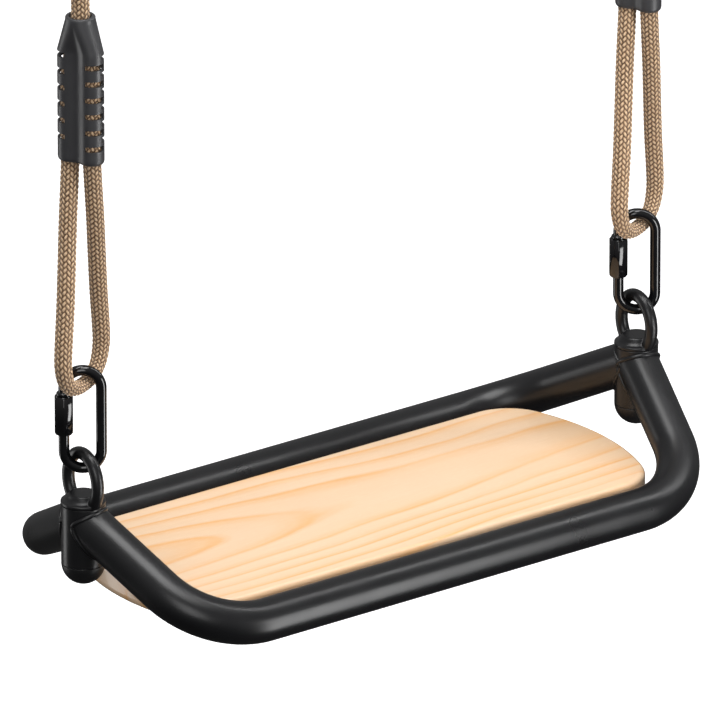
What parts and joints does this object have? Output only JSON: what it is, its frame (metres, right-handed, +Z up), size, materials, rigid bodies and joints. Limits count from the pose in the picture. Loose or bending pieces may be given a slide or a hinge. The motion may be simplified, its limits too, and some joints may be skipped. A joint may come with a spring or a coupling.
{
  "type": "board swing",
  "caption": "Swing seat with a flat pine board in a black tubular steel frame, hung by eyes and quick links from braided ropes with clamp sleeves.",
  "frame": {"origin": "midway between the two hanger links, level with the inner crowns that bear on the hooks above", "axes": "+X along the board towards its right end, +Y to the rear, +Z up along the ropes"},
  "size_m": [0.5613, 0.2538, 0.8797],
  "materials": {
    "frame_black": "satin powder coat",
    "link_black": "gloss",
    "sleeve_grey": "satin moulded",
    "cap_black": "matt",
    "zinc": "zinc plated",
    "braid": "braided cord",
    "pine": "clear varnish"
  },
  "bodies": {
    "hangers": {"hanger_link_left": "link_black", "hanger_link_right": "link_black"},
    "upper_rope_left": {"upper_rope_left": "braid", "upper_sleeve_left": "sleeve_grey"},
    "lower_rope_left": {"rope_left": "braid", "lower_sleeve_left": "sleeve_grey"},
    "seat_link_left": {"seat_link_left": "link_black"},
    "hanger_nut_left": {"hanger_link_nut_left": "link_black"},
    "seat_nut_left": {"seat_link_nut_left": "link_black"},
    "upper_rope_right": {"upper_rope_right": "braid", "upper_sleeve_right": "sleeve_grey"},
    "lower_rope_right": {"rope_right": "braid", "lower_sleeve_right": "sleeve_grey"},
    "seat_link_right": {"seat_link_right": "link_black"},
    "hanger_nut_right": {"hanger_link_nut_right": "link_black"},
    "seat_nut_right": {"seat_link_nut_right": "link_black"},
    "seat": {"eye_left": "frame_black", "eye_bush_left": "zinc", "eye_nut_left": "zinc", "post_left": "frame_black", "post_cap_left": "cap_black", "seat_strap_left": "frame_black", "eye_right": "frame_black", "eye_bush_right": "zinc", "eye_nut_right": "zinc", "post_right": "frame_black", "post_cap_right": "cap_black", "seat_strap_right": "frame_black", "strap_screw_left_front": "zinc", "strap_screw_left_rear": "zinc", "strap_screw_right_front": "zinc", "strap_screw_right_rear": "zinc", "front_tube": "frame_black", "rear_tube": "frame_black", "seat_board": "pine"}
  },
  "joints": [
    {"name": "swing_left", "type": "hinge", "parent": "hangers", "child": "upper_rope_left", "pos_m": [-0.249, 0, -0.0713], "axis": [1, 0, 0], "range_deg": [-45, 45]},
    {"name": "sway_left", "type": "hinge", "parent": "upper_rope_left", "child": "lower_rope_left", "pos_m": [-0.249, 0, -0.3519], "axis": [0, 1, 0], "range_deg": [-15, 15]},
    {"name": "link_level_left", "type": "hinge", "parent": "lower_rope_left", "child": "seat_link_left", "pos_m": [-0.249, 0, -0.6897], "axis": [0, 1, 0], "range_deg": [-15, 15]},
    {"name": "swing_right", "type": "hinge", "parent": "hangers", "child": "upper_rope_right", "pos_m": [0.249, 0, -0.0713], "axis": [1, 0, 0], "range_deg": [-45, 45]},
    {"name": "sway_right", "type": "hinge", "parent": "upper_rope_right", "child": "lower_rope_right", "pos_m": [0.249, 0, -0.3519], "axis": [0, 1, 0], "range_deg": [-15, 15]},
    {"name": "link_level_right", "type": "hinge", "parent": "lower_rope_right", "child": "seat_link_right", "pos_m": [0.249, 0, -0.6897], "axis": [0, 1, 0], "range_deg": [-15, 15]},
    {"name": "seat_tip", "type": "hinge", "parent": "seat_link_left", "child": "seat", "pos_m": [-0.249, 0, -0.7536], "axis": [1, 0, 0], "range_deg": [-40, 40]},
    {"name": "hanger_nut_slide_left", "type": "slide", "parent": "hangers", "child": "hanger_nut_left", "axis": [0, 0, -1], "range_m": [0, 0.0132]},
    {"name": "seat_nut_slide_left", "type": "slide", "parent": "seat_link_left", "child": "seat_nut_left", "axis": [0, 0, -1], "range_m": [0, 0.0132]},
    {"name": "hanger_nut_slide_right", "type": "slide", "parent": "hangers", "child": "hanger_nut_right", "axis": [0, 0, -1], "range_m": [0, 0.0132]},
    {"name": "seat_nut_slide_right", "type": "slide", "parent": "seat_link_right", "child": "seat_nut_right", "axis": [0, 0, -1], "range_m": [0, 0.0132]}
  ],
  "couplings": [
    {"joint": "swing_right", "follows": "swing_left", "ratio": 1},
    {"joint": "sway_right", "follows": "sway_left", "ratio": 1},
    {"joint": "link_level_left", "follows": "sway_left", "ratio": -1},
    {"joint": "link_level_right", "follows": "sway_left", "ratio": -1}
  ]
}
